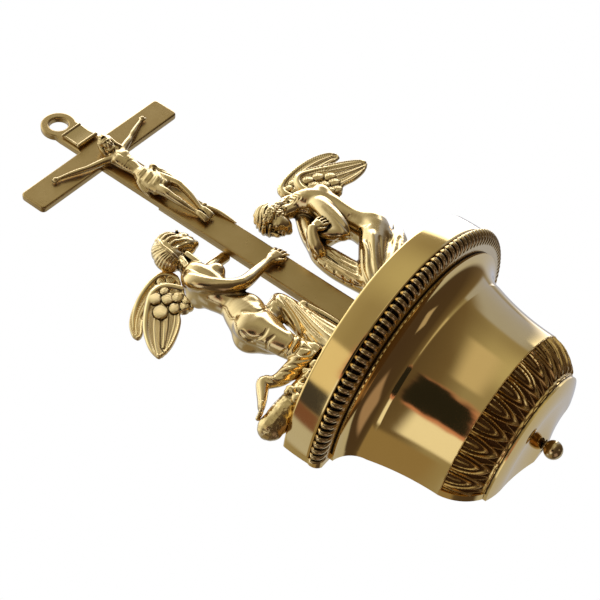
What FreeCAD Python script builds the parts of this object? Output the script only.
import FreeCAD, Part

# Wall-hung holy water stoup in cast brass: a bowl a little less than half round on a flat back
# plate, a plain collar over a reeded bead, a band of tongue leaves, and on a ledge at the rim a
# crucifix between two kneeling winged angels.
#
# Millimetres.  X runs along the wall, Y into the wall, Z up.  The origin lies on the wall plane,
# on the bowl's centre line, level with the top of the collar.
import math
import os
import Sketcher
from FreeCAD import Matrix, Placement, Rotation, Vector

# ---------------------------------------------------------------- driving dimensions
DIMENSIONS = {
    # bowl: an inset is how much smaller a radius is than the one above it, and a drop or a height
    # is measured down from the piece above
    "axis_setback": 1.8,        # the bowl's axis lies this far behind the wall plane
    "collar_radius": 55.0,
    "collar_bulge": 75.0,       # radius of the collar's slightly convex face
    "collar_wall": 4.0,
    "collar_height": 10.4,
    "bead_stand": 1.2,          # how far the bead stands out from the collar
    "bead_taper": 3.0,
    "bead_height": 4.5,
    "bead_round": 3.4,
    "bead_width": 9.4,
    "reed_count": 124.0,        # reeds in a full turn
    "reed_round": 0.95,
    "reed_depth": 1.1,
    "lip_inset": 4.4,
    "shell_lip": 1.1,
    "shell_seat": 1.0,
    "neck_inset": 7.8,          # depth of the hollow moulding under the rim
    "neck_drop": 9.2,
    "neck_round": 9.6,
    "waist_inset": 4.3,
    "waist_drop": 24.3,         # from the hollow moulding to the top of the leaf band
    "waist_round": 90.0,
    "shell_wall": 2.2,
    "band_round": 17.5,
    "band_inset": 8.3,
    "band_height": 11.9,
    "band_wall": 3.0,
    "band_floor": 6.0,
    "band_recess": 0.7,
    "leaf_count": 32.0,         # leaves in a full turn
    "leaf_width": 6.2,
    "leaf_gap": 2.5,            # from the tip of a leaf to the foot of the band
    "leaf_rib": 0.9,
    "leaf_stand": 0.8,
    "leaf_lip": 0.9,
    "cap_lip": 1.1,
    "cap_shoulder_inset": 8.4,
    "cap_shoulder_drop": 2.7,
    "cap_foot_radius": 5.0,
    "cap_height": 5.2,
    "cap_round": 60.0,
    "cap_shoulder_round": 22.0,
    "ball_radius": 3.3,
    "ball_out": 5.1,            # ball's centre in front of the wall
    "ball_neck_radius": 1.8,
    # back plate, ledge and strap
    "plate_thickness": 2.8,
    "ledge_thickness": 2.6,
    "ledge_depth": 15.0,
    "fit_gap": 0.05,
    "strap_width": 8.4,
    "strap_thickness": 2.8,
    "strap_top": 100.0,
    "strap_foot": 34.0,         # how far the strap reaches down inside the bowl
    # cross
    "shaft_width": 11.8,
    "cross_thickness": 2.9,
    "bar_length": 73.4,
    "bar_centre": 133.0,
    "bar_corner": 1.8,
    "cross_edge": 0.7,
    "eye_centre": 155.9,
    "eye_radius": 6.9,
    "eye_hole_radius": 3.7,
    "eye_neck": 150.6,
    "eye_shoulder": 1.2,
    # title scroll
    "scroll_width": 9.6,
    "scroll_height": 9.6,
    "scroll_thickness": 0.9,
    "scroll_bottom": 139.9,
    "scroll_roll": 0.9,
    # fasteners
    "screw_radius": 1.2,
    "screw_head_radius": 2.3,
    "screw_head": 1.3,
    "screw_bite": 1.6,
    "screw_clearance": 0.1,
    "plate_screw_upper": 10.0,
    "plate_screw_lower": 26.0,
    "cross_screw_upper": 92.0,
    "cross_screw_lower": 12.0,
    "base_screw_rise": 4.0,
    "base_screw_out": 9.0,      # distance of the base screws from the wall
    "base_screw_inset": 9.0,    # from the collar's outside to the left outer screw
    "base_screw_margin": 7.5,   # from the ends of the bases to their other screws
    "nail_radius": 0.45,
    "nail_head_radius": 0.95,
    "nail_head": 0.5,
    # bases
    "rock_top": 8.6,
    "rock_front": 16.4,
    "rock_back": 3.2,
    "left_rock_end": 61.0,
    "left_rock_inner": 7.6,
    "right_rock_end": 44.5,
    "right_rock_inner": 7.6,
    # figures
    "feather_thickness": 1.3,
    "feather_layer": 0.5,
}


class Size:
    """A length of the model: its number, and the spreadsheet expression that gives it."""

    def __init__(self, value, text):
        self.value = float(value)
        self.text = text

    def _join(self, other, sign, value):
        return Size(value, "(" + self.text + " " + sign + " " + size_of(other).text + ")")

    def __add__(self, other):
        return self._join(other, "+", self.value + float(other))

    def __sub__(self, other):
        return self._join(other, "-", self.value - float(other))

    def __mul__(self, other):
        return self._join(other, "*", self.value * float(other))

    def __truediv__(self, other):
        return self._join(other, "/", self.value / float(other))

    def __neg__(self):
        return Size(-self.value, "(0 - " + self.text + ")")

    def __float__(self):
        return self.value


def size_of(number):
    return number if isinstance(number, Size) else Size(number, repr(float(number)))


document = FreeCAD.newDocument("Stoup")
sheet = document.addObject("Spreadsheet::Sheet", "Sizes")
for row, (alias, number) in enumerate(DIMENSIONS.items(), start=1):
    sheet.set("A%d" % row, alias.replace("_", " "))
    sheet.set("B%d" % row, str(number))
    sheet.setAlias("B%d" % row, alias)
document.recompute()


def size(alias):
    return Size(sheet.get(alias), "Sizes." + alias)


PIECES = []


def keep(piece, label):
    """Give a finished sub-part its name and remember it for the export."""
    piece.Label = label
    PIECES.append(piece)
    return piece


# ---------------------------------------------------------------- sketches and bodies
def new_body(name):
    return document.addObject("PartDesign::Body", name)


def plane_of(body, role):
    return next(p for p in body.Origin.OriginFeatures if p.Role == role)


def new_sketch(body, role, name, offset=None):
    """A sketch on one of the body's own planes, moved along the plane's normal by offset."""
    sketch = body.newObject("Sketcher::SketchObject", name)
    sketch.AttachmentSupport = [(plane_of(body, role), "")]
    sketch.MapMode = "FlatFace"
    if offset is not None:
        sketch.setExpression("AttachmentOffset.Base.z", size_of(offset).text)
    return sketch


def bind(sketch, constraint, expression):
    index = sketch.addConstraint(constraint)
    sketch.setExpression("Constraints[%d]" % index, expression)


def edge_curve(start, step):
    """The curve from start to a step: (x, y), or (x, y, radius, side) for an arc whose centre lies
    on the left (side 1) or the right (side -1) of the way there."""
    a = Vector(float(start[0]), float(start[1]), 0)
    b = Vector(float(step[0]), float(step[1]), 0)
    if len(step) == 2:
        return Part.LineSegment(a, b), 1, 2
    radius, side = float(step[2]), step[3]
    chord = b - a
    left = Vector(-chord.y, chord.x, 0).normalize()
    reach = math.sqrt(max(radius ** 2 - (chord.Length / 2) ** 2, 0))
    centre = (a + b) * 0.5 + left * side * reach
    circle = Part.Circle(centre, Vector(0, 0, 1), radius)
    at_a = math.atan2(a.y - centre.y, a.x - centre.x)
    at_b = math.atan2(b.y - centre.y, b.x - centre.x)
    if side > 0:
        return Part.ArcOfCircle(circle, at_a, at_b), 1, 2
    return Part.ArcOfCircle(circle, at_b, at_a), 2, 1


def closed_outline(sketch, steps):
    """Draw a closed outline whose corners and arc radii follow the spreadsheet."""
    edges = []
    for here, there in zip(steps, steps[1:] + steps[:1]):
        curve, first, last = edge_curve(here, there)
        edges.append((sketch.addGeometry(curve, False), first, last, there))
    for number, (index, first, last, there) in enumerate(edges):
        following = edges[(number + 1) % len(edges)]
        sketch.addConstraint(Sketcher.Constraint("Coincident", index, last, following[0], following[1]))
        x, y = size_of(there[0]), size_of(there[1])
        bind(sketch, Sketcher.Constraint("DistanceX", -1, 1, index, last, float(x)), x.text)
        bind(sketch, Sketcher.Constraint("DistanceY", -1, 1, index, last, float(y)), y.text)
        if len(there) == 4:
            bind(sketch, Sketcher.Constraint("Radius", index, float(there[2])), size_of(there[2]).text)


def circle_in(sketch, x, y, radius):
    x, y, radius = size_of(x), size_of(y), size_of(radius)
    circle = Part.Circle(Vector(float(x), float(y), 0), Vector(0, 0, 1), float(radius))
    index = sketch.addGeometry(circle, False)
    bind(sketch, Sketcher.Constraint("DistanceX", -1, 1, index, 3, float(x)), x.text)
    bind(sketch, Sketcher.Constraint("DistanceY", -1, 1, index, 3, float(y)), y.text)
    bind(sketch, Sketcher.Constraint("Radius", index, float(radius)), radius.text)


def rectangle(left, bottom, right, top):
    return [(left, bottom), (right, bottom), (right, top), (left, top)]


def feature(body, kind, name, sketch, **settings):
    """A PartDesign feature made from a sketch; sizes among its settings are bound to the sheet."""
    made = body.newObject("PartDesign::" + kind, name)
    made.Profile = sketch
    for prop, value in settings.items():
        if isinstance(value, Size):
            made.setExpression(prop, value.text)
        else:
            setattr(made, prop, value)
    return made


def place(piece, x=0.0, y=0.0, z=0.0):
    """Place a piece by expressions on its three base coordinates."""
    for axis, distance in (("x", x), ("y", y), ("z", z)):
        piece.setExpression("Placement.Base." + axis, size_of(distance).text)


def cut_beyond(body, name, depth, towards_wall):
    """Cut the body off at a plane depth in front of its axis, on the wall side or the room side."""
    reach = bead_r * 2
    sketch = new_sketch(body, "XZ_Plane", name, offset=depth)
    closed_outline(sketch, rectangle(-reach, -reach, reach, reach))
    feature(body, "Pocket", name + "_cut", sketch, Length=reach, Reversed=not towards_wall)


def turned_body(name, section_steps):
    """A body turned once round its vertical axis; the section gives radius and height."""
    body = new_body(name)
    section = new_sketch(body, "XZ_Plane", name + "_section")
    closed_outline(section, section_steps)
    feature(body, "Revolution", name + "_turn", section, ReferenceAxis=(section, ["V_Axis"]),
            Angle=360.0)
    return body


def bored(body, name, role, x, y, radius, length, offset=None, reverse=False):
    """A round hole from one of the body's planes, length deep."""
    sketch = new_sketch(body, role, name, offset=offset)
    circle_in(sketch, x, y, radius)
    feature(body, "Pocket", name + "_cut", sketch, Length=size_of(length), Reversed=reverse)


# ---------------------------------------------------------------- bowl
setback, plate = size("axis_setback"), size("plate_thickness")
collar_r, collar_h, collar_wall = size("collar_radius"), size("collar_height"), size("collar_wall")
bead_r, bead_h = collar_r + size("bead_stand"), size("bead_height")
bead_foot = bead_r - size("bead_taper")
bead_bottom = collar_h + bead_h
bead_inner = bead_r - size("bead_width")
mouth_r = bead_inner - size("shell_seat")
lip_r, lip_bottom = bead_foot - size("lip_inset"), bead_bottom + size("shell_lip")
neck_r, neck_round = lip_r - size("neck_inset"), size("neck_round")
neck_bottom = lip_bottom + size("neck_drop")
waist_r, waist_round = neck_r - size("waist_inset"), size("waist_round")
band_top = neck_bottom + size("waist_drop")
wall = size("shell_wall")
band_foot, band_round = waist_r - size("band_inset"), size("band_round")
band_bottom = band_top + size("band_height")
band_wall, band_floor = size("band_wall"), size("band_floor")
cap_lip, cap_bottom = size("cap_lip"), band_bottom + size("cap_height")
cap_shoulder_r, cap_shoulder = band_foot - size("cap_shoulder_inset"), band_bottom + size("cap_shoulder_drop")


def bowl_ring(name, label, section_steps):
    """A ring of the bowl: turned, then cut off flat in front of the back plate."""
    body = turned_body(name, section_steps)
    cut_beyond(body, name + "_flat", setback + plate, towards_wall=True)
    place(body, y=setback)
    return keep(body, label)


def collar_section():
    edge = collar_wall / 5
    return [
        (collar_r - collar_wall, -collar_h),
        (collar_r, -collar_h),
        (collar_r, -edge, size("collar_bulge"), 1),
        (collar_r - edge, 0, edge, 1),
        (collar_r - collar_wall, 0),
    ]


def bead_section():
    return [
        (bead_inner, -bead_bottom),
        (bead_foot, -bead_bottom),
        (bead_r, -(collar_h + bead_h / 4), size("bead_round"), 1),
        (collar_r, -collar_h),
        (bead_inner, -collar_h),
    ]


def make_bead():
    """The bead under the collar, fluted all round into close upright reeds."""
    body = turned_body("bead", bead_section())
    flute = new_sketch(body, "XY_Plane", "flute_section")
    circle_in(flute, bead_r + size("reed_round") - size("reed_depth"), 0, size("reed_round"))
    pocket = feature(body, "Pocket", "flute", flute, Length=bead_bottom)
    pattern = body.newObject("PartDesign::PolarPattern", "flutes")
    pattern.Originals = [pocket]
    pattern.Axis = (flute, ["N_Axis"])
    pattern.Angle = 180.0
    pattern.Reversed = True
    pattern.Occurrences = int(float(size("reed_count")) / 2) + 1
    body.Tip = pattern
    cut_beyond(body, "bead_flat", setback + plate, towards_wall=True)
    place(body, y=setback)
    return keep(body, "reeded_bead")


def shell_section():
    return [
        (mouth_r, -bead_bottom),
        (mouth_r, -lip_bottom),
        (neck_r - wall, -neck_bottom, neck_round + wall, 1),
        (waist_r - wall, -band_top, waist_round, 1),
        (waist_r, -band_top),
        (neck_r, -neck_bottom, waist_round, -1),
        (lip_r, -lip_bottom, neck_round, -1),
        (lip_r, -bead_bottom),
    ]


def cap_section():
    """The shallow ogee that closes the bowl, with a lip round its edge."""
    return [
        (0, -(band_bottom + cap_lip)),
        (0, -cap_bottom),
        (size("cap_foot_radius"), -cap_bottom),
        (cap_shoulder_r, -cap_shoulder, size("cap_round"), -1),
        (band_foot, -(band_bottom + cap_lip), size("cap_shoulder_round"), 1),
        (band_foot, -band_bottom),
        (band_foot - band_floor, -band_bottom),
    ]


def silhouette():
    """Half outline of the whole bowl, which the back plate fills edge to edge."""
    return [
        (0, 0),
        (0, -cap_bottom),
        (size("cap_foot_radius"), -cap_bottom),
        (cap_shoulder_r, -cap_shoulder, size("cap_round"), -1),
        (band_foot, -(band_bottom + cap_lip), size("cap_shoulder_round"), 1),
        (band_foot, -band_bottom),
        (waist_r, -band_top, band_round, 1),
        (neck_r, -neck_bottom, waist_round, -1),
        (lip_r, -lip_bottom, neck_round, -1),
        (lip_r, -bead_bottom),
        (bead_foot, -bead_bottom),
        (collar_r, -collar_h, size("bead_round"), 1),
        (collar_r, 0),
    ]


def make_back_plate():
    """The flat back, cut as a slice of the bowl's own form, with countersunk strap holes."""
    body = turned_body("back", silhouette())
    cut_beyond(body, "back_wall_side", setback, towards_wall=True)
    cut_beyond(body, "back_room_side", setback + plate, towards_wall=False)
    radius, gap = size("screw_radius"), size("screw_clearance")
    for name in ("plate_screw_upper", "plate_screw_lower"):
        height = -size(name)
        bored(body, name + "_hole", "XZ_Plane", 0, height, radius + gap, plate, setback, True)
        bored(body, name + "_sink", "XZ_Plane", 0, height, size("screw_head_radius") + gap,
              size("screw_head"), setback, True)
    place(body, y=setback)
    return keep(body, "back_plate")


def flat_turned(points):
    """Solid of the closed (radius, height) outline turned once round the bowl's axis."""
    upright = Rotation(Vector(1, 0, 0), 90)
    edges = []
    for here, there in zip(points, points[1:] + points[:1]):
        edge = edge_curve(here, there)[0].toShape()
        edge.Placement = Placement(Vector(), upright)
        edges.append(edge)
    return Part.Face(Part.Wire(Part.__sortEdges__(edges))).revolve(Vector(), Vector(0, 0, 1), 360)


def tongue(width, height, top):
    """A prism with the outline of one leaf, standing out from the bowl's axis along -Y."""
    half = width / 2
    shoulder = top - height + half
    outline = Part.Wire([
        Part.LineSegment(Vector(-half, 0, top), Vector(half, 0, top)).toShape(),
        Part.LineSegment(Vector(half, 0, top), Vector(half, 0, shoulder)).toShape(),
        Part.Arc(Vector(half, 0, shoulder), Vector(0, 0, top - height),
                 Vector(-half, 0, shoulder)).toShape(),
        Part.LineSegment(Vector(-half, 0, shoulder), Vector(-half, 0, top)).toShape(),
    ])
    return Part.Face(outline).extrude(Vector(0, -2 * float(waist_r), 0))


def band_section(grow):
    """Outline of the leaf band's rounded wall, with its outer face moved out by grow."""
    top, bottom = -float(band_top), -float(band_bottom)
    foot, outer, thick = float(band_foot), float(waist_r), float(band_wall)
    return [
        (foot - float(band_floor), bottom),
        (foot + grow, bottom),
        (outer + grow, top, float(band_round) + grow, 1),
        (outer - thick, top),
        (foot - thick, bottom + thick, float(band_round) - thick, -1),
        (foot - float(band_floor), bottom + thick),
    ]


def make_leaf_band():
    """The band of hanging tongue leaves: each is a raised rim and a midrib round a sunk field."""
    recess, stand = float(size("band_recess")), float(size("leaf_stand"))
    top, lip = -float(band_top), float(size("leaf_lip"))
    wide, rib = float(size("leaf_width")), float(size("leaf_rib"))
    tall = float(size("band_height") - size("leaf_gap"))
    base = flat_turned(band_section(-recess))
    skin = flat_turned(band_section(stand - recess)).cut(base)
    rim = tongue(wide, tall, top).cut(tongue(wide - 2 * rib, tall - rib, top))
    leaf = skin.common(rim.fuse(tongue(rib, tall - 3 * rib, top)))
    count = int(float(size("leaf_count")))
    step = 360.0 / count
    leaves = []
    for number in range(count // 2):
        copy = leaf.copy()
        copy.rotate(Vector(), Vector(0, 0, 1), -90 + step * (number + 0.5))
        leaves.append(copy)
    around = Part.makeCylinder(float(waist_r) * 2, lip, Vector(0, 0, top - lip))
    solid = base.multiFuse([flat_turned(band_section(0)).common(around)] + leaves)
    reach = float(bead_r) * 2
    solid = solid.common(Part.makeBox(2 * reach, reach, 2 * reach,
                                      Vector(-reach, -reach - float(setback + plate), -reach)))
    band = document.addObject("Part::Feature", "leaves")
    band.Shape = solid.removeSplitter()
    place(band, y=setback)
    return keep(band, "leaf_band")


def make_ball():
    """The full ball under the cap, turned with the short neck that joins it."""
    radius, neck = size("ball_radius"), size("ball_neck_radius")
    body = turned_body("ball", [
        (0, -(radius * 2)),
        (radius, -radius, radius, 1),
        (neck, 0, radius * 1.1, 1),
        (0, 0),
    ])
    place(body, y=-size("ball_out"), z=-cap_bottom)
    return keep(body, "ball_finial")


# ---------------------------------------------------------------- ledge, strap and cross
ledge_r = collar_r - collar_wall - size("fit_gap")
strap_w, strap_t = size("strap_width"), size("strap_thickness")
cross_t, shaft_w = size("cross_thickness"), size("shaft_width")
cross_back = plate + strap_t
cross_front = cross_back + cross_t
screw_r, screw_gap = size("screw_radius"), size("screw_clearance")
screw_margin = size("base_screw_margin")
BASE_SCREWS = (size("base_screw_inset") - collar_r, -size("left_rock_inner") - screw_margin,
               size("right_rock_inner") + screw_margin, size("right_rock_end") - screw_margin)
screw_out = size("base_screw_out")
# the figures are modelled with the top of their base, the cross's front face and the middle of
# its bar here, and are then moved with those pieces
TOP_MODELLED, FRONT_MODELLED, BAR_MODELLED = 8.6, 8.5, 133.0
# x, distance from the wall and height of the nails in the hands and feet
NAILS = ((-23.6, 9.9, 133.8), (23.6, 9.9, 133.8), (-1.35, 11.1, 82.2), (2.3, 11.1, 82.8))


def make_ledge():
    """The shelf across the back of the bowl that carries the figures."""
    body = new_body("ledge")
    disc = new_sketch(body, "XY_Plane", "ledge_disc")
    circle_in(disc, 0, 0, ledge_r)
    feature(body, "Pad", "ledge_pad", disc, Length=size("ledge_thickness"), Reversed=True)
    cut_beyond(body, "ledge_wall_side", setback + plate, towards_wall=True)
    cut_beyond(body, "ledge_room_side", setback + plate + size("ledge_depth"), towards_wall=False)
    slot = new_sketch(body, "XY_Plane", "ledge_slot")
    side = strap_w / 2 + size("fit_gap")
    near = -(setback + plate + strap_t + size("fit_gap"))
    closed_outline(slot, rectangle(-side, near, side, 0))
    feature(body, "Pocket", "ledge_slot_cut", slot, Length=size("ledge_thickness"))
    for number, x in enumerate(BASE_SCREWS):
        bored(body, "ledge_hole_%d" % number, "XY_Plane", x, -(setback + screw_out), screw_r + screw_gap,
              size("ledge_thickness"))
    place(body, y=setback)
    return keep(body, "figure_ledge")


def make_strap():
    """The flat bar that stands the cross off the wall and carries it."""
    body = new_body("strap")
    outline = new_sketch(body, "XZ_Plane", "strap_outline")
    closed_outline(outline, rectangle(-strap_w / 2, -size("strap_foot"), strap_w / 2, size("strap_top")))
    feature(body, "Pad", "strap_pad", outline, Length=strap_t)
    bite = size("screw_bite") + size("fit_gap")
    for name in ("plate_screw_upper", "plate_screw_lower"):
        bored(body, name + "_tap", "XZ_Plane", 0, -size(name), screw_r + screw_gap, bite, None, True)
    for name in ("cross_screw_upper", "cross_screw_lower"):
        bored(body, name + "_hole", "XZ_Plane", 0, size(name), screw_r + screw_gap, strap_t, None, True)
        bored(body, name + "_sink", "XZ_Plane", 0, size(name), size("screw_head_radius") + screw_gap,
              size("screw_head"), None, True)
    place(body, y=-plate)
    return keep(body, "cross_strap")


def edges_where(shape, test):
    return ["Edge%d" % n for n, edge in enumerate(shape.Edges, start=1) if test(edge)]


def make_cross():
    """The cross with its hanging eye, its front edges softly bevelled."""
    half, arm, middle = shaft_w / 2, size("bar_length") / 2, size("bar_centre")
    low, high = middle - half, middle + half
    eye_r, eye_z, neck = size("eye_radius"), size("eye_centre"), size("eye_neck")
    body = new_body("cross")
    outline = new_sketch(body, "XZ_Plane", "cross_outline")
    closed_outline(outline, [
        (half, 0), (half, low), (arm, low), (arm, high), (half, high), (half, neck),
        (eye_r, neck + size("eye_shoulder")), (eye_r, eye_z),
        (0, eye_z + eye_r, eye_r, 1), (-eye_r, eye_z, eye_r, 1),
        (-eye_r, neck + size("eye_shoulder")), (-half, neck), (-half, high),
        (-arm, high), (-arm, low), (-half, low), (-half, 0),
    ])
    feature(body, "Pad", "cross_pad", outline, Length=cross_t)
    bored(body, "eye", "XZ_Plane", 0, eye_z, size("eye_hole_radius"), cross_t, None, True)
    bite = size("screw_bite") + size("fit_gap")
    for name in ("cross_screw_upper", "cross_screw_lower"):
        bored(body, name + "_tap", "XZ_Plane", 0, size(name), screw_r + screw_gap, bite, None, True)
    for number, (x, _, z) in enumerate(NAILS):
        height = middle + (z - BAR_MODELLED)
        bored(body, "nail_hole_%d" % number, "XZ_Plane", x, height, size("nail_radius"), cross_t, None, True)
    document.recompute()
    end = float(arm)
    corners = body.newObject("PartDesign::Fillet", "bar_corners")
    corners.Base = (body.Group[-2], edges_where(body.Group[-2].Shape, lambda e: all(
        abs(abs(v.X) - end) < 1e-4 for v in e.Vertexes) and abs(e.Vertexes[0].Z - e.Vertexes[-1].Z) < 1e-4))
    corners.setExpression("Radius", size("bar_corner").text)
    document.recompute()
    front = -float(cross_t)
    bevel = body.newObject("PartDesign::Chamfer", "front_bevel")
    bevel.Base = (corners, edges_where(corners.Shape, lambda e: all(
        abs(v.Y - front) < 1e-4 for v in e.Vertexes) and min(v.Z for v in e.Vertexes) > 1e-3
        and len(e.Vertexes) == 2))
    bevel.setExpression("Size", size("cross_edge").text)
    place(body, y=-cross_back)
    return keep(body, "cross")


def make_title():
    """The small bare scroll above the figure, its lower end rolled forward."""
    body = new_body("title")
    half, roll = size("scroll_width") / 2, size("scroll_roll")
    low, high = size("scroll_bottom"), size("scroll_bottom") + size("scroll_height")
    face = new_sketch(body, "XZ_Plane", "title_outline")
    closed_outline(face, rectangle(-half, low, half, high))
    feature(body, "Pad", "title_pad", face, Length=size("scroll_thickness"))
    end = new_sketch(body, "YZ_Plane", "title_roll")
    circle_in(end, -roll, low, roll)
    feature(body, "Pad", "title_roll_pad", end, Length=size("scroll_width"), Midplane=True)
    place(body, y=-cross_front)
    return keep(body, "title_scroll")


def screw(length, head_radius, head, radius):
    """A flush screw pointing along -Y from the plane of its head."""
    away = Vector(0, -1, 0)
    return Part.makeCylinder(head_radius, head, Vector(), away).fuse(
        Part.makeCylinder(radius, length, Vector(), away)).removeSplitter()


def screw_group(label, screws):
    """A piece that holds several screws."""
    group = document.addObject("Part::Feature", label)
    group.Shape = Part.makeCompound(screws)
    keep(group, label)


def make_screws():
    """Hidden screws: plate to strap, strap to cross, and ledge to the figures' bases."""
    head_r, head, bite = (float(size(name)) for name in ("screw_head_radius", "screw_head", "screw_bite"))
    radius, ledge_t = float(screw_r), float(size("ledge_thickness"))
    groups = (
        ("strap_screws", plate, 0.0, (-size("plate_screw_upper"), -size("plate_screw_lower"))),
        ("cross_screws", strap_t, -plate, (size("cross_screw_upper"), size("cross_screw_lower"))),
    )
    for label, held, back, heights in groups:
        screws = []
        for height in heights:
            one = screw(float(held) + bite, head_r, head, radius)
            one.translate(Vector(0, float(back), float(height)))
            screws.append(one)
        screw_group(label, screws)
    screws = []
    for x in BASE_SCREWS:
        one = screw(head + ledge_t + float(size("base_screw_rise")), head_r, head, radius)
        one.rotate(Vector(), Vector(1, 0, 0), -90)
        one.translate(Vector(float(x), -float(screw_out), -ledge_t - head))
        screws.append(one)
    screw_group("base_screws", screws)


# ---------------------------------------------------------------- modelling of the figures
OVAL_STEPS = 8
ACROSS, UPWARD, OUTWARD = Vector(1, 0, 0), Vector(0, 0, 1), Vector(0, -1, 0)


def at(x, out, z):
    """A point given by its place along the wall, its distance out from the wall and its height."""
    return Vector(x, -out, z)


def oval(centre, along, front, half_front, half_side):
    """An oval wire square to a limb: half_front is measured towards front, half_side across it."""
    along = Vector(along).normalize()
    u = (front - along * front.dot(along)).normalize()
    v = along.cross(u)
    points = [centre + u * (half_front * math.cos(turn)) + v * (half_side * math.sin(turn))
              for turn in (2 * math.pi * step / OVAL_STEPS for step in range(OVAL_STEPS))]
    curve = Part.BSplineCurve()
    curve.interpolate(Points=points, PeriodicFlag=True)
    return Part.Wire(curve.toShape())


def limb(front, *stations):
    """A rounded form lofted through ovals; each station is (x, out, z, half front, half side)."""
    points = [at(*s[:3]) for s in stations]
    ovals = []
    for number, station in enumerate(stations):
        before, after = points[max(number - 1, 0)], points[min(number + 1, len(points) - 1)]
        ovals.append((points[number], after - before, station[3], station[4]))
    rounding, blunt = 0.62, 0.5
    for end, inward in ((0, 1), (-1, -1)):
        centre, along, half_front, half_side = ovals[end]
        step = Vector(along).normalize() * (-inward) * min(half_front, half_side) * rounding
        closing = (centre + step, along, half_front * blunt, half_side * blunt)
        ovals.insert(0, closing) if end == 0 else ovals.append(closing)
    return Part.makeLoft([oval(c, a, front, f, s) for c, a, f, s in ovals], True, False)


def joined(forms):
    """One solid out of overlapping forms, added one after another."""
    solid = forms[0]
    for form in forms[1:]:
        solid = solid.fuse(form)
    return max(solid.Solids, key=lambda part: part.Volume)


def below(height):
    """Everything lower than height."""
    reach = float(bead_r) * 4
    return Part.makeBox(reach, reach, reach, Vector(-reach / 2, -reach / 2, height - reach))


def behind(out):
    """Everything nearer to the wall than out."""
    reach = float(bead_r) * 8
    return Part.makeBox(reach, reach, reach, Vector(-reach / 2, -out, -reach / 2))


def wing(out, trailing, bone, coverts):
    """A spread wing: a rounded leading edge (bone), a blade of flight feathers between its centre
    line and the trailing edge, and covert scales over their roots.  Both edges run from the
    shoulder to the tip; trailing holds (x, z), bone and coverts (x, z, radius)."""
    thick, layer = float(size("feather_thickness")), float(size("feather_layer"))
    front = out + thick / 2
    outline = list(trailing) + [(x, z) for x, z, _ in reversed(bone)]
    edge = Part.BSplineCurve()
    edge.interpolate(Points=[at(x, front, z) for x, z in outline], PeriodicFlag=True)
    forms = [
        Part.Face(Part.Wire(edge.toShape())).extrude(Vector(0, thick, 0)),
        limb(OUTWARD, *[(x, out, z, r * 1.25, r) for x, z, r in bone]),
    ]
    for number, (x, z, radius) in enumerate(coverts):
        rise = front + layer * (1 + number % 2)
        forms.append(Part.makeCylinder(radius, 2 * (rise - out), at(x, rise, z), Vector(0, 1, 0)))
    return joined(forms)


def rock(outer, inner, reach_out):
    """A rugged mound with a flat top, from outer to inner along the wall; its back is upright."""
    back, top = float(size("rock_back")), float(size("rock_top"))
    span = inner - outer
    spread = ((0.0, 0.62), (0.2, 0.88), (0.55, 1.0), (1.0, 0.96))
    levels = []
    for height, swell in ((0.0, 0.94), (0.55, 1.0), (1.0, 0.9)):
        inset = (1 - swell) * reach_out
        sign = 1 if span > 0 else -1
        ends = [(outer + sign * inset) + (span - sign * inset) * part for part, _ in spread]
        edge = [at(x, back + (reach_out - back) * depth * swell, top * height)
                for x, (_, depth) in zip(ends, spread)]
        corners = [at(ends[0], back, top * height)] + edge + [at(inner, back, top * height)]
        levels.append(Part.makePolygon(corners + corners[:1]))
    return Part.makeLoft(levels, True, True)


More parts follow.
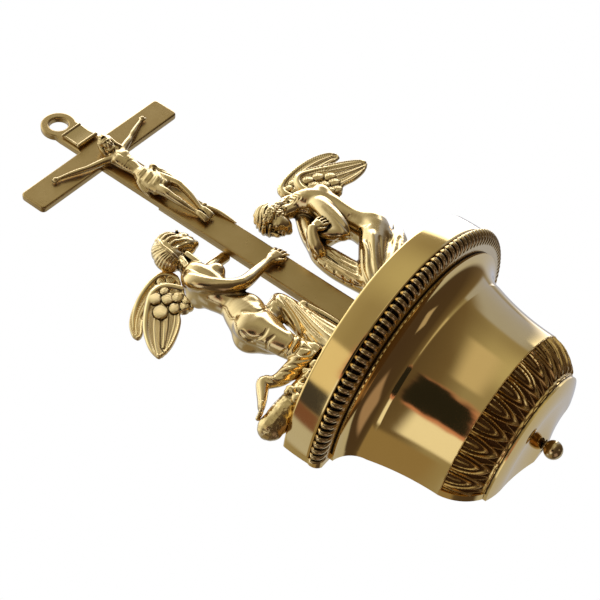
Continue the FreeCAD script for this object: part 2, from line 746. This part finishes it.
# ---------------------------------------------------------------- left angel
def left_angel_form():
    """Kneels on the near knee with the far knee raised, and embraces the shaft."""
    torso = limb(ACROSS, (-23.4, 9.5, 67.6, 3.4, 3.6), (-25.5, 9.5, 63.6, 5.8, 6.6),
                 (-25.9, 9.6, 57.6, 7.2, 7.0), (-25.9, 9.6, 51.2, 6.6, 6.2), (-26.2, 9.6, 45.7, 6.2, 5.6),
                 (-27.0, 9.6, 40.2, 7.6, 6.6), (-28.8, 9.6, 34.2, 8.1, 7.2), (-28.8, 9.6, 29.2, 7.0, 6.8),
                 (-28.2, 9.6, 25.2, 5.2, 5.6))
    near_thigh = limb(ACROSS, (-31.2, 12.8, 31.0, 5.4, 4.4), (-31.0, 13.2, 23.0, 4.9, 4.3),
                      (-29.8, 13.0, 15.0, 4.6, 4.2), (-28.4, 13.0, 9.0, 4.4, 4.1),
                      (-27.6, 13.0, 5.4, 3.6, 3.6))
    near_shin = limb(UPWARD, (-27.2, 13.0, 10.6, 4.0, 4.0), (-32.2, 12.6, 11.6, 3.7, 3.9),
                     (-38.4, 12.0, 12.2, 3.1, 3.3), (-43.4, 11.4, 13.2, 2.5, 2.5),
                     (-46.6, 11.0, 15.2, 2.2, 2.2))
    near_foot = limb(UPWARD, (-46.4, 11.0, 16.0, 2.2, 2.2), (-48.6, 11.0, 14.6, 2.4, 2.4),
                     (-51.8, 11.0, 12.2, 2.0, 2.4), (-55.4, 11.0, 9.9, 1.5, 2.2))
    far_thigh = limb(UPWARD, (-25.0, 7.0, 31.4, 4.8, 4.0), (-18.0, 7.0, 34.2, 4.3, 3.8),
                     (-13.2, 7.2, 35.0, 3.4, 3.4))
    cloth = limb(ACROSS, (-11.9, 7.6, 37.4, 2.5, 2.4), (-12.5, 7.6, 34.6, 3.5, 3.3),
                 (-13.1, 7.6, 29.6, 4.2, 3.8), (-14.0, 7.8, 22.4, 4.7, 4.0), (-15.0, 8.0, 14.6, 5.4, 4.4),
                 (-16.0, 8.2, 6.0, 6.2, 4.8))
    near_arm = limb(OUTWARD, (-31.5, 15.0, 60.6, 3.2, 3.0), (-30.6, 15.8, 57.0, 3.2, 3.2),
                    (-27.8, 16.2, 52.0, 2.8, 2.9), (-24.2, 16.0, 48.2, 2.6, 2.6),
                    (-20.2, 15.2, 46.9, 2.6, 2.6), (-13.6, 13.4, 47.9, 2.4, 2.5),
                    (-6.4, 11.5, 48.6, 2.0, 2.2), (-1.6, 11.0, 48.7, 1.8, 1.9))
    near_hand = limb(OUTWARD, (-1.8, 10.9, 48.7, 1.8, 1.9), (1.0, 10.7, 49.1, 2.0, 2.9),
                     (4.0, 10.2, 49.5, 2.2, 3.6), (6.4, 9.0, 49.6, 2.0, 3.4))
    far_arm = limb(OUTWARD, (-20.4, 6.4, 64.6, 3.0, 3.2), (-15.0, 4.6, 66.2, 2.7, 2.8),
                   (-9.4, 3.2, 66.5, 2.3, 2.5), (-4.9, 3.0, 66.3, 2.1, 2.6))
    neck = limb(ACROSS, (-24.6, 9.3, 62.0, 3.2, 3.1), (-22.7, 9.4, 69.6, 3.1, 3.0),
                (-21.0, 9.4, 76.0, 3.2, 3.0))
    return joined([torso, near_thigh, near_shin, near_foot, far_thigh, cloth, near_arm, near_hand, far_arm,
                   neck] + left_angel_head())


def left_angel_head():
    """Lifted towards the cross: skull, plain face wedge, and the hair drawn back in a cap."""
    return [
        limb(ACROSS, (-17.4, 9.5, 73.6, 3.4, 2.8), (-18.4, 9.5, 76.4, 5.2, 4.2),
             (-20.2, 9.5, 80.2, 6.3, 5.3), (-21.6, 9.5, 83.6, 5.6, 5.0), (-22.4, 9.5, 85.8, 3.4, 3.2)),
        limb(ACROSS, (-12.6, 9.5, 79.4, 1.1, 0.9), (-12.2, 9.5, 77.6, 1.3, 1.1),
             (-12.9, 9.5, 75.6, 1.2, 1.4)),
        limb(ACROSS, (-26.0, 9.5, 82.6, 2.6, 3.6), (-26.4, 9.5, 78.8, 3.0, 4.6),
             (-25.4, 9.5, 75.0, 2.8, 4.0), (-25.6, 9.5, 71.8, 2.0, 2.6)),
    ]


def left_wings():
    near = wing(
        13.2,
        ((-37.4, 57.2), (-38.6, 53.0), (-41.2, 53.4), (-43.6, 54.6), (-46.4, 51.9), (-51.2, 49.1),
         (-57.0, 47.0), (-62.4, 46.8)),
        ((-34.8, 60.4, 1.5), (-37.4, 65.6, 1.4), (-40.4, 67.6, 1.3), (-44.5, 67.2, 1.2),
         (-50.5, 63.6, 1.1), (-56.4, 58.6, 1.0), (-60.4, 53.6, 0.9), (-62.3, 49.8, 0.8)),
        ((-44.6, 63.2, 2.0), (-41.4, 62.2, 2.2), (-48.0, 60.0, 2.6), (-43.8, 57.6, 2.4),
         (-39.2, 59.0, 2.2), (-40.2, 55.2, 1.8)))
    far = wing(
        5.6,
        ((-34.0, 67.6), (-42.0, 68.0), (-49.6, 65.6), (-54.6, 61.9), (-57.0, 62.0), (-57.0, 64.6)),
        ((-28.0, 67.0, 1.7), (-28.4, 72.0, 1.6), (-30.8, 75.4, 1.4), (-36.0, 75.6, 1.3),
         (-43.4, 73.4, 1.2), (-50.0, 70.4, 1.0), (-54.2, 67.4, 0.8)),
        ())
    return near, far


# ---------------------------------------------------------------- right angel
def right_angel_form():
    """Kneels low in profile, head bowed to the cross and the arms crossed on the breast."""
    torso = limb(ACROSS, (28.2, 9.5, 60.4, 3.3, 3.5), (31.0, 9.5, 57.4, 5.7, 6.8),
                 (33.2, 9.6, 52.6, 6.6, 7.0), (34.0, 9.6, 46.7, 6.1, 6.4), (34.6, 9.6, 40.7, 5.3, 5.8),
                 (35.0, 9.6, 35.4, 5.8, 6.3), (34.6, 9.6, 30.2, 6.2, 6.8), (33.8, 9.6, 25.2, 5.4, 6.2))
    near_thigh = limb(UPWARD, (33.6, 12.4, 28.4, 5.2, 4.4), (26.0, 13.0, 24.0, 5.2, 4.7),
                      (18.2, 13.2, 19.0, 4.9, 4.6), (12.6, 13.0, 14.6, 4.4, 4.2),
                      (10.6, 12.8, 11.4, 3.4, 3.6))
    near_calf = limb(UPWARD, (13.0, 12.4, 10.6, 4.2, 4.0), (20.0, 12.4, 11.6, 5.0, 4.8),
                     (28.4, 12.0, 14.8, 4.9, 4.8), (35.4, 11.6, 18.6, 3.3, 3.8),
                     (40.2, 11.0, 22.4, 1.8, 2.6), (42.8, 10.6, 24.9, 1.0, 1.4))
    far_thigh = limb(UPWARD, (34.0, 7.0, 38.4, 3.6, 3.6), (27.4, 7.0, 41.4, 3.2, 3.2),
                     (21.0, 7.5, 42.0, 3.0, 3.0), (16.8, 8.4, 41.0, 2.8, 2.8))
    cloth = limb(ACROSS, (15.4, 8.4, 41.4, 3.0, 2.8), (14.9, 8.5, 37.4, 4.6, 3.6),
                 (14.5, 8.5, 30.8, 5.2, 4.2), (14.4, 8.5, 24.6, 5.0, 4.3), (14.6, 8.5, 17.4, 4.6, 4.3),
                 (15.2, 8.5, 7.0, 4.6, 4.4))
    near_arm = limb(OUTWARD, (31.0, 12.8, 54.0, 3.2, 3.4), (28.4, 14.6, 48.2, 3.4, 3.8),
                    (26.2, 15.2, 42.4, 3.3, 3.7), (24.4, 15.2, 37.8, 3.0, 3.4),
                    (22.8, 14.8, 35.0, 2.6, 2.8))
    near_forearm = limb(OUTWARD, (22.9, 14.6, 36.2, 2.5, 2.6), (20.6, 14.0, 39.2, 2.3, 2.4),
                        (19.2, 13.4, 42.4, 2.0, 2.1))
    far_arm = limb(OUTWARD, (25.6, 6.8, 54.4, 2.8, 2.8), (20.4, 7.6, 48.8, 2.8, 2.8),
                   (15.6, 9.6, 43.2, 2.6, 2.6), (12.2, 12.0, 38.4, 2.4, 2.5))
    far_forearm = limb(OUTWARD, (11.4, 13.0, 37.0, 2.2, 2.3), (12.6, 14.8, 40.4, 2.2, 2.3),
                       (15.4, 16.4, 43.6, 1.8, 2.0), (18.4, 17.4, 44.5, 1.4, 2.3),
                       (21.2, 17.8, 43.8, 1.1, 2.2), (23.2, 17.8, 42.8, 0.8, 1.6))
    neck = limb(UPWARD, (30.0, 9.5, 58.0, 3.6, 3.6), (25.6, 9.5, 59.6, 3.1, 3.1),
                (20.6, 9.5, 61.2, 3.3, 3.1))
    return joined([torso, near_thigh, near_calf, far_thigh, cloth, near_arm, near_forearm, far_arm,
                   far_forearm, neck] + right_angel_head())


def right_angel_head():
    """Bowed and turned down: skull, plain face wedge, and wavy hair falling to the nape."""
    return [
        limb(ACROSS, (17.0, 9.5, 54.2, 2.6, 2.6), (15.8, 9.5, 57.0, 4.7, 4.2), (14.4, 9.5, 61.0, 6.2, 5.3),
             (13.2, 9.5, 64.8, 5.8, 5.1), (12.2, 9.5, 68.0, 3.8, 3.6)),
        limb(ACROSS, (10.2, 9.5, 59.6, 1.1, 0.9), (10.6, 9.5, 57.6, 1.3, 1.1), (12.2, 9.5, 55.8, 1.2, 1.4)),
        limb(UPWARD, (17.6, 9.5, 65.6, 3.2, 4.4), (21.4, 9.5, 64.8, 2.8, 4.2), (25.2, 9.5, 62.8, 2.0, 3.6),
             (28.6, 9.5, 61.0, 1.3, 2.6)),
        limb(UPWARD, (6.9, 9.5, 66.2, 1.6, 3.0), (9.4, 9.5, 67.8, 1.7, 4.6), (14.0, 9.5, 68.8, 1.5, 4.8),
             (18.6, 9.5, 68.2, 1.4, 4.2)),
    ]


def right_wings():
    near = wing(
        13.2,
        ((36.0, 54.0), (38.4, 50.8), (40.0, 48.9), (42.0, 49.6), (44.8, 51.0), (50.5, 49.8),
         (56.2, 49.9), (60.0, 51.3)),
        ((32.8, 58.0, 1.6), (32.2, 62.0, 1.5), (34.2, 65.4, 1.4), (37.8, 66.4, 1.3), (42.4, 64.6, 1.2),
         (49.2, 60.6, 1.1), (55.8, 56.4, 0.9), (59.6, 53.6, 0.8)),
        ((36.6, 62.2, 2.0), (40.4, 60.8, 2.0), (44.6, 58.6, 2.0), (36.8, 58.4, 1.8), (39.6, 57.0, 2.0),
         (43.2, 54.8, 2.0), (38.6, 53.4, 1.9), (40.6, 50.8, 1.6)))
    far = wing(
        5.6,
        ((37.0, 62.6), (42.0, 65.0), (50.0, 66.4), (58.0, 66.0), (63.0, 65.5), (63.8, 68.0)),
        ((33.4, 61.5, 1.7), (32.0, 66.4, 1.7), (32.4, 70.4, 1.5), (35.6, 72.6, 1.3), (41.4, 73.4, 1.2),
         (48.4, 73.4, 1.1), (54.4, 72.4, 1.0), (60.4, 70.2, 0.8)),
        ())
    return near, far


# ---------------------------------------------------------------- corpus
def corpus_form():
    """The figure on the cross: head bowed, arms raised to the nails, knotted loincloth."""
    torso = limb(ACROSS, (0.7, 11.2, 127.6, 2.4, 1.6), (0.2, 11.1, 125.6, 4.4, 2.1),
                 (-0.1, 11.2, 122.4, 4.2, 2.5), (-0.2, 11.1, 118.8, 3.7, 2.3),
                 (-0.1, 10.8, 114.8, 3.0, 1.9), (-0.4, 10.9, 110.6, 3.8, 2.3),
                 (-0.6, 10.9, 106.8, 3.9, 2.4))
    arms = [limb(OUTWARD, (side * 3.5, 10.9, 126.0, 1.7, 1.6), (side * 9.4, 10.4, 127.8, 1.3, 1.35),
                 (side * 14.4, 10.0, 130.0, 1.1, 1.1), (side * 20.0, 9.6, 132.7, 0.9, 0.9),
                 (side * 23.6, 9.1, 133.8, 0.9, 1.3), (side * 25.6, 9.0, 134.1, 0.7, 0.8))
            for side in (-1, 1)]
    neck = limb(ACROSS, (0.8, 11.4, 127.0, 1.6, 1.6), (1.1, 12.2, 129.6, 1.5, 1.5))
    skull = limb(ACROSS, (0.6, 13.0, 128.0, 1.5, 1.6), (1.1, 12.9, 130.0, 2.3, 2.6),
                 (1.7, 12.3, 132.6, 2.6, 2.9), (2.2, 11.6, 134.8, 1.9, 2.1))
    left_hair = limb(ACROSS, (-1.4, 11.8, 132.6, 0.9, 1.3), (-2.8, 11.6, 129.4, 1.0, 1.3),
                     (-4.0, 11.5, 126.8, 0.7, 0.9))
    right_hair = limb(ACROSS, (3.6, 11.2, 132.2, 1.0, 1.6), (3.6, 11.0, 128.8, 1.0, 1.4),
                      (3.2, 11.2, 125.8, 0.7, 0.9))
    loincloth = limb(ACROSS, (-0.4, 10.9, 112.2, 4.2, 2.5), (-0.6, 11.0, 109.4, 4.8, 2.8),
                     (-1.0, 11.0, 105.4, 4.6, 2.8), (-1.2, 11.0, 103.6, 3.8, 2.5))
    left_end = limb(ACROSS, (-4.4, 10.6, 108.2, 1.0, 1.4), (-6.2, 10.2, 105.4, 0.8, 1.1),
                    (-7.0, 10.0, 103.6, 0.5, 0.8))
    knot_end = limb(ACROSS, (4.2, 11.6, 110.4, 1.4, 1.5), (5.6, 11.0, 107.0, 1.3, 1.3),
                    (6.4, 10.2, 102.4, 1.2, 1.0), (5.6, 9.8, 98.0, 0.8, 0.7))
    left_leg = limb(ACROSS, (-2.4, 11.0, 107.0, 2.3, 2.3), (-3.6, 12.4, 97.4, 2.0, 2.1),
                    (-2.6, 11.8, 92.4, 1.7, 1.8), (-1.4, 9.9, 84.6, 1.1, 1.3), (-1.3, 10.0, 80.0, 1.2, 1.2))
    right_leg = limb(ACROSS, (2.0, 11.0, 107.0, 2.2, 2.3), (3.0, 12.2, 96.6, 1.9, 2.0),
                     (2.8, 11.6, 92.0, 1.6, 1.8), (2.1, 9.9, 84.8, 1.1, 1.3), (2.4, 10.0, 80.8, 1.2, 1.2))
    return joined([torso] + arms + [neck, skull, left_hair, right_hair, loincloth, left_end, knot_end,
                                    left_leg, right_leg])


def corpus_nails():
    """Round-headed nails through the hands and feet, riveted at the back of the cross."""
    radius, head_r, head = (float(size(name)) for name in ("nail_radius", "nail_head_radius", "nail_head"))
    lift = float(size("bar_centre")) - BAR_MODELLED
    nails = []
    for x, out, z in NAILS:
        front = out + float(cross_front) - FRONT_MODELLED
        shank = Part.makeCylinder(radius, front - float(cross_back), at(x, front, z + lift), Vector(0, 1, 0))
        dome = Part.makeCylinder(head_r, head, at(x, front + head / 2, z + lift), Vector(0, 1, 0))
        nails.append(dome.fuse(shank).removeSplitter())
    return Part.makeCompound(nails)


def solid_piece(shape, label):
    """Adds a finished shape to the model as the piece called label."""
    piece = document.addObject("Part::Feature", label)
    piece.Shape = shape
    return keep(piece, label)


def make_rock(label, outer, inner):
    """One base, with blind bores for the screws that come up through the ledge."""
    shape = rock(outer, inner, float(size("rock_front")))
    radius, rise = float(screw_r + screw_gap), float(size("base_screw_rise") + size("fit_gap"))
    for x in (float(place_of) for place_of in BASE_SCREWS):
        if min(outer, inner) < x < max(outer, inner):
            shape = shape.cut(Part.makeCylinder(radius, rise, at(x, float(screw_out), 0)))
    return solid_piece(shape, label)


def make_angel(side, form, wings, standing_parts):
    """One angel and its two wings, set down on the base and fitted round the cross."""
    up = Vector(0, 0, float(size("rock_top")) - TOP_MODELLED)
    form.translate(up)
    form = form.cut(below(float(size("rock_top"))))
    for part in standing_parts:
        form = form.cut(part)
    solid_piece(joined([form]), side + "_angel")
    for place_of, shape in zip(("near", "far"), wings):
        shape.translate(up)
        solid_piece(joined([shape.cut(form)]), side + "_angel_" + place_of + "_wing")


def make_corpus():
    """The corpus bedded on the face of the cross, and its nails."""
    shape = corpus_form()
    shape.translate(at(0, float(cross_front) - FRONT_MODELLED, float(size("bar_centre")) - BAR_MODELLED))
    nails = corpus_nails()
    solid_piece(joined([shape.cut(behind(float(cross_front))).cut(nails)]), "corpus")
    solid_piece(nails, "corpus_nails")


bowl_ring("collar", "rim_collar", collar_section())
make_bead()
bowl_ring("shell", "bowl_shell", shell_section())
make_leaf_band()
bowl_ring("cap", "bottom_cap", cap_section())
make_ball()
make_back_plate()
make_ledge()
strap_piece = make_strap()
cross_piece = make_cross()
make_title()
make_screws()
make_rock("left_rock", -float(size("left_rock_end")), -float(size("left_rock_inner")))
make_rock("right_rock", float(size("right_rock_end")), float(size("right_rock_inner")))
document.recompute()
standing = [cross_piece.Shape, strap_piece.Shape]
make_angel("left", left_angel_form(), left_wings(), standing)
make_angel("right", right_angel_form(), right_wings(), standing)
make_corpus()

# ---------------------------------------------------------------- check and export
document.recompute()
for item in document.Objects:
    if "Invalid" in item.State or "Error" in item.State:
        raise RuntimeError(item.Name + " did not rebuild: " + str(item.State))
os.makedirs("parts", exist_ok=True)
for piece in PIECES:
    shape = piece.Shape
    if shape.isNull() or not shape.isValid() or not shape.Solids:
        raise RuntimeError(piece.Label + " is not a valid solid")
    shape.exportStep("parts/" + piece.Label + ".step")
    print("%-24s %d solid(s) %10.1f mm3" % (piece.Label, len(shape.Solids), shape.Volume))
